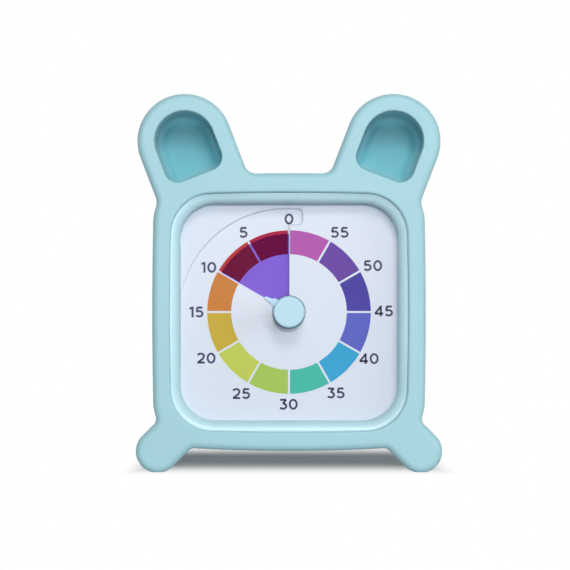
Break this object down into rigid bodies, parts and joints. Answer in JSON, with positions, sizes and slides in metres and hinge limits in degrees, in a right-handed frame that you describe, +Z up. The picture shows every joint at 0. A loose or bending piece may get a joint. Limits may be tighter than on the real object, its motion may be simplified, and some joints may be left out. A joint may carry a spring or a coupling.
{
  "type": "visual countdown timer",
  "caption": "Square dial timer in a soft eared sleeve on two paws; a knob winds a tinted disk through a slit in the dial to show minutes left.",
  "frame": {"origin": "on the floor under the middle of the timer, centre of its outline in width and depth", "axes": "+Z up, -Y towards the reader of the dial, +X to the reader's right"},
  "size_m": [0.0998, 0.0442, 0.1232],
  "materials": {
    "sleeve_silicone": "matt soft silicone, pale aqua",
    "case_plastic": "fine satin moulded plastic, pale aqua",
    "clear_lens": "polished clear polycarbonate",
    "dial_white": "smooth satin white",
    "disk_film": "tinted translucent violet film",
    "knob_plastic": "smooth satin moulded plastic, pale blue",
    "bright_steel": "zinc plated",
    "inner_plastic": "plain moulded plastic",
    "movement_plastic": "black moulded plastic",
    "gear_plastic": "natural acetal",
    "copper_wire": "enamelled copper winding",
    "battery_jacket": "plain wrapped cell",
    "board_green": "solder-masked board",
    "chip_black": "black moulded package",
    "sounder_brass": "piezo disc",
    "switch_plastic": "moulded slider"
  },
  "bodies": {
    "case": {"front_case": "case_plastic", "lens": "clear_lens", "dial_frame": "case_plastic", "dial_plate": "dial_white", "chassis": "inner_plastic", "chassis_screws": "bright_steel", "movement_front": "movement_plastic", "movement_rear": "movement_plastic", "movement_screws": "bright_steel", "stator": "bright_steel", "coil_bobbin": "gear_plastic", "coil_winding": "copper_wire", "back_cover": "case_plastic", "case_screws": "bright_steel", "battery": "battery_jacket", "battery_plus_contact": "bright_steel", "battery_spring": "bright_steel", "circuit_board": "board_green", "board_parts": "chip_black", "sounder": "sounder_brass", "switch_body": "chip_black"},
    "sleeve": {"sleeve": "sleeve_silicone"},
    "knob": {"setting_knob": "knob_plastic", "knob_shaft": "bright_steel", "clutch_spring": "bright_steel"},
    "disk": {"time_disk": "disk_film", "disk_hub": "knob_plastic"},
    "drive_wheel": {"drive_wheel": "gear_plastic"},
    "second_wheel": {"second_wheel": "gear_plastic"},
    "rotor": {"rotor": "gear_plastic"},
    "battery_door": {"battery_door": "case_plastic"},
    "sound_switch": {"switch_slider": "switch_plastic"}
  },
  "joints": [
    {"name": "sleeve_pull_off", "type": "slide", "parent": "case", "child": "sleeve", "axis": [0, -1, 0], "range_m": [0, 0.045]},
    {"name": "knob_turn", "type": "hinge", "parent": "case", "child": "knob", "pos_m": [0, 0, 0.05216], "axis": [0, -1, 0], "range_deg": [-60, 300]},
    {"name": "disk_screw", "type": "slide", "parent": "knob", "child": "disk", "axis": [0, -1, 0], "range_m": [-0.00067, 0.00334]},
    {"name": "drive_wheel_spin", "type": "hinge", "parent": "case", "child": "drive_wheel", "pos_m": [0, 0, 0.05216], "axis": [0, -1, 0], "continuous": true},
    {"name": "second_wheel_spin", "type": "hinge", "parent": "case", "child": "second_wheel", "pos_m": [0.00792, 0, 0.06008], "axis": [0, -1, 0], "continuous": true},
    {"name": "rotor_spin", "type": "hinge", "parent": "case", "child": "rotor", "pos_m": [-0.0011, 0, 0.06336], "axis": [0, -1, 0], "continuous": true},
    {"name": "battery_door_off", "type": "slide", "parent": "case", "child": "battery_door", "axis": [0, 1, 0], "range_m": [0, 0.02]},
    {"name": "sound_switch_slide", "type": "slide", "parent": "case", "child": "sound_switch", "axis": [0, 0, -1], "range_m": [0, 0.004]}
  ],
  "couplings": [
    {"joint": "disk_screw", "follows": "knob_turn", "m_per_rad": 0.00063662},
    {"joint": "second_wheel_spin", "follows": "drive_wheel_spin", "ratio": -6},
    {"joint": "rotor_spin", "follows": "drive_wheel_spin", "ratio": 30}
  ]
}
